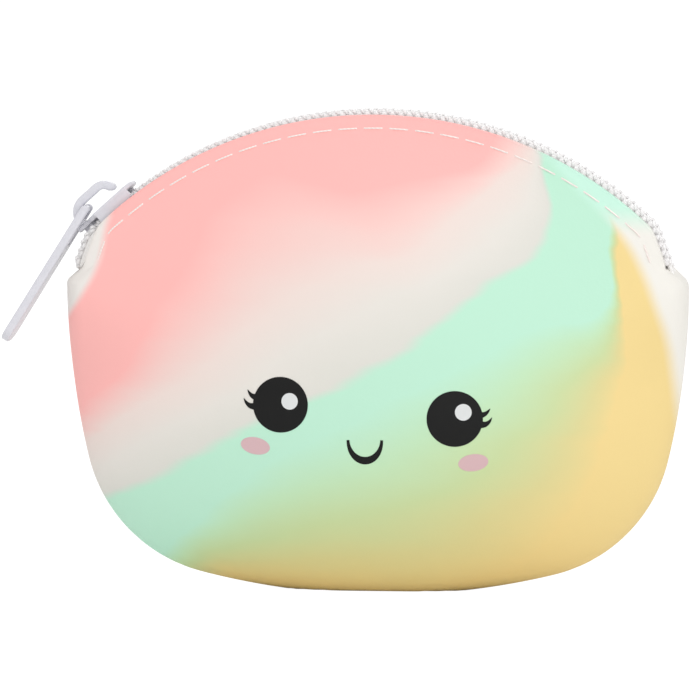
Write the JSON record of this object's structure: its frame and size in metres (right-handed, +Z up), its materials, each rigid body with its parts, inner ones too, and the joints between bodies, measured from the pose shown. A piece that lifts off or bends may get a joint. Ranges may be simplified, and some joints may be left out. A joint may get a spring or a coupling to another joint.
{
  "type": "squeeze coin purse",
  "caption": "Small rounded silicone coin purse with an arched zip across the top, a slider that runs along it and a swinging flat pull.",
  "frame": {"origin": "middle of the flat sole that the purse stands on", "axes": "+X across the purse to the viewer's right with the closed slider at the -X end, -Y to the printed front, +Z up to the zip"},
  "size_m": [0.122, 0.036, 0.0854],
  "materials": {
    "silicone": "satin matte",
    "tape": "woven",
    "coil": "satin",
    "cord": "woven",
    "thread": "twisted thread",
    "lacquer": "satin lacquer"
  },
  "bodies": {
    "pouch": {"shell": "silicone", "tape_front": "tape", "tape_rear": "tape", "coil_front": "coil", "coil_rear": "coil", "core_cord_front": "cord", "core_cord_rear": "cord", "seam_thread_front": "thread", "seam_thread_rear": "thread", "bobbin_thread_front": "thread", "bobbin_thread_rear": "thread"},
    "slider": {"slider_body": "lacquer"},
    "pull": {"pull_tab": "lacquer"}
  },
  "joints": [
    {"name": "slider_travel", "type": "hinge", "parent": "pouch", "child": "slider", "pos_m": [0, 0, 0.01392], "axis": [0, 1, 0], "range_deg": [0, 79], "deforming": ["coil_front", "coil_rear"]},
    {"name": "pull_swing", "type": "hinge", "parent": "slider", "child": "pull", "pos_m": [-0.05179, 0, 0.06711], "axis": [0, 1, 0], "range_deg": [0, 200]}
  ]
}
